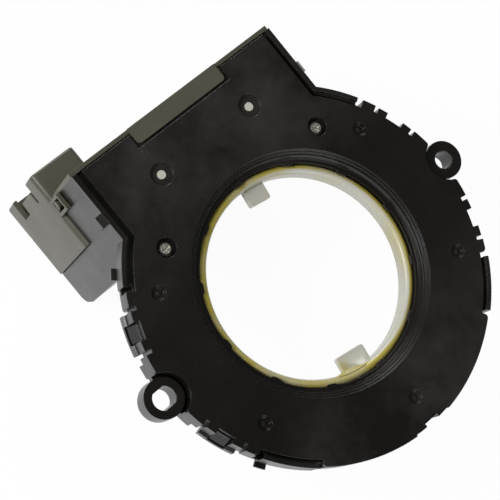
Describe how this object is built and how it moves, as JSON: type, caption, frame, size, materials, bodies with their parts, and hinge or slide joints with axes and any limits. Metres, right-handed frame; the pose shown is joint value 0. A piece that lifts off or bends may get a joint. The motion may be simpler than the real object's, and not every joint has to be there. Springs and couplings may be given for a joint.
{
  "type": "steering angle sensor",
  "caption": "Ring-shaped sensor for a steering shaft with a toothed rotor ring, measuring gears, two mounting ears and a deep electronics box with a plug shroud.",
  "frame": {"origin": "on the steering shaft's axis at the underside plane of the two mounting ears", "axes": "+Z along the shaft out of the cover, +X towards the round ear hole, +Y towards the tower with the plug"},
  "size_m": [0.0958, 0.0975, 0.0523],
  "materials": {
    "black_case": "black moulded glass-filled plastic, light scuffs",
    "grey_case": "warm grey moulded plastic",
    "white_acetal": "off-white acetal with grease",
    "magnet": "pressed ferrite",
    "black_steel": "black zinc on steel",
    "laminate": "green solder mask",
    "chip_black": "black moulding compound",
    "can_metal": "drawn can",
    "ceramic": "brown ceramic",
    "tin": "bright tin plate"
  },
  "bodies": {
    "housing": {"lower_case": "black_case", "top_cover": "black_case", "rear_cover": "grey_case", "cover_screw_right": "black_steel", "cover_screw_left": "black_steel", "sensor_board": "laminate", "main_board": "laminate", "sensor_chip_a": "chip_black", "sensor_chip_b": "chip_black", "microcontroller": "chip_black", "bus_transceiver": "chip_black", "voltage_regulator": "chip_black", "crystal": "can_metal", "storage_capacitor": "can_metal", "chip_capacitors": "ceramic", "board_header": "chip_black", "header_pins": "tin", "terminal_1": "tin", "terminal_2": "tin", "terminal_3": "tin", "terminal_4": "tin", "terminal_5": "tin", "terminal_6": "tin"},
    "rotor": {"rotor_ring": "white_acetal"},
    "gear_a": {"measuring_gear_a": "white_acetal", "magnet_a": "magnet"},
    "gear_b": {"measuring_gear_b": "white_acetal", "magnet_b": "magnet"}
  },
  "joints": [
    {"name": "rotor_turn", "type": "hinge", "parent": "housing", "child": "rotor", "pos_m": [0, 0, 0], "axis": [0, 0, 1], "continuous": true},
    {"name": "gear_a_turn", "type": "hinge", "parent": "housing", "child": "gear_a", "pos_m": [-0.01305, 0.03675, 0], "axis": [0, 0, 1], "continuous": true},
    {"name": "gear_b_turn", "type": "hinge", "parent": "housing", "child": "gear_b", "pos_m": [0.01305, 0.03675, 0], "axis": [0, 0, 1], "continuous": true}
  ],
  "couplings": [
    {"joint": "gear_a_turn", "follows": "rotor_turn", "ratio": -3.2174},
    {"joint": "gear_b_turn", "follows": "rotor_turn", "ratio": -3.0833}
  ]
}
